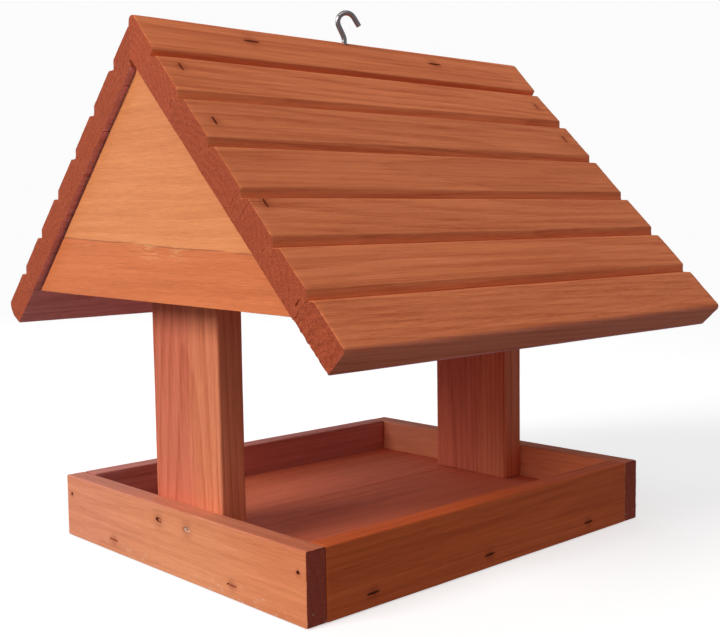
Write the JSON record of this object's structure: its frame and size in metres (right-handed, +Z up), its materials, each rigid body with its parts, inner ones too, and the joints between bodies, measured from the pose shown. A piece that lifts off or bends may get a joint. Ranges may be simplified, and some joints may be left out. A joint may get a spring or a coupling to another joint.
{
  "type": "bird feeder",
  "caption": "Hanging wooden bird feeder: a shallow tray with a pitched roof of grooved boards over it, held on end posts, and a steel screw hook in the ridge.",
  "frame": {"origin": "middle of the tray's flat underside", "axes": "+X along the ridge, towards the end where the roof reaches further out; -Y towards the longer roof slope; +Z up"},
  "size_m": [0.337, 0.3421, 0.3476],
  "materials": {
    "roof_wood": "stained softwood, planed, satin",
    "gable_wood": "stained softwood, planed, satin",
    "tray_wood": "stained softwood, planed, satin",
    "floor_wood": "stained softwood, planed, matt",
    "post_wood": "stained softwood, planed, satin",
    "hook_steel": "zinc plated, slightly dull",
    "fastener_steel": "bare steel, stained dark"
  },
  "bodies": {
    "feeder": {"corner_nail_left_back": "fastener_steel", "corner_nail_left_front": "fastener_steel", "corner_nail_right_back": "fastener_steel", "corner_nail_right_front": "fastener_steel", "floor_board_back": "floor_wood", "floor_board_front": "floor_wood", "floor_staple_back_1": "fastener_steel", "floor_staple_back_2": "fastener_steel", "floor_staple_back_3": "fastener_steel", "floor_staple_front_1": "fastener_steel", "floor_staple_front_2": "fastener_steel", "floor_staple_front_3": "fastener_steel", "floor_staple_left_1": "fastener_steel", "floor_staple_left_2": "fastener_steel", "floor_staple_right_1": "fastener_steel", "floor_staple_right_2": "fastener_steel", "gable_left": "gable_wood", "gable_right": "gable_wood", "gable_screw_left_high": "fastener_steel", "gable_screw_left_low": "fastener_steel", "gable_screw_right_high": "fastener_steel", "gable_screw_right_low": "fastener_steel", "post_left": "post_wood", "post_right": "post_wood", "post_screw_left_1": "fastener_steel", "post_screw_left_2": "fastener_steel", "post_screw_right_1": "fastener_steel", "post_screw_right_2": "fastener_steel", "ridge_staple_left": "fastener_steel", "ridge_staple_right": "fastener_steel", "roof_back_board_1": "roof_wood", "roof_back_board_2": "roof_wood", "roof_back_board_3": "roof_wood", "roof_back_board_4": "roof_wood", "roof_back_board_5": "roof_wood", "roof_back_board_6": "roof_wood", "roof_back_board_7": "roof_wood", "roof_front_board_1": "roof_wood", "roof_front_board_2": "roof_wood", "roof_front_board_3": "roof_wood", "roof_front_board_4": "roof_wood", "roof_front_board_5": "roof_wood", "roof_front_board_6": "roof_wood", "roof_front_board_7": "roof_wood", "roof_staple_back_2_left": "fastener_steel", "roof_staple_back_2_right": "fastener_steel", "roof_staple_back_3_left": "fastener_steel", "roof_staple_back_3_right": "fastener_steel", "roof_staple_back_5_left": "fastener_steel", "roof_staple_front_2_left": "fastener_steel", "roof_staple_front_2_right": "fastener_steel", "roof_staple_front_3_left": "fastener_steel", "roof_staple_front_3_right": "fastener_steel", "roof_staple_front_5_left": "fastener_steel", "tray_end_left": "tray_wood", "tray_end_right": "tray_wood", "tray_side_back": "tray_wood", "tray_side_front": "tray_wood"},
    "hook": {"screw_hook": "hook_steel"}
  },
  "joints": [
    {"name": "hook_turn", "type": "hinge", "parent": "feeder", "child": "hook", "pos_m": [-0.0048, -0.001, 0.32639], "axis": [0, 0, 1], "range_deg": [-180, 180]}
  ]
}
